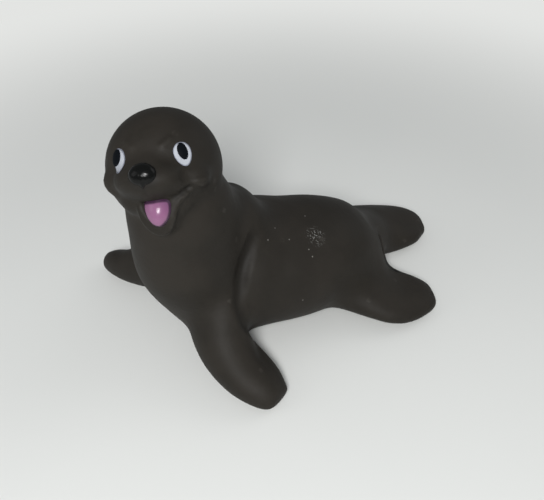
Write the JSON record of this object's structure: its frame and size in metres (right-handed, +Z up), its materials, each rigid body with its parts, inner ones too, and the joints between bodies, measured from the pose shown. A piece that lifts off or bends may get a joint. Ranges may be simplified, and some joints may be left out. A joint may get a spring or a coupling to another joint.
{
  "type": "toy seal figurine",
  "caption": "Solid soft vinyl toy seal resting on its belly and flippers, head raised and turned, with an open smiling mouth.",
  "frame": {"origin": "on the flat of the belly, under the middle of the torso, at floor level", "axes": "+Z up, +Y towards the tail and hind flippers, +X towards the seal's left side"},
  "size_m": [0.0725, 0.1035, 0.0706],
  "materials": {
    "vinyl": "matte"
  },
  "bodies": {
    "root": {"seal": "vinyl"}
  },
  "joints": []
}
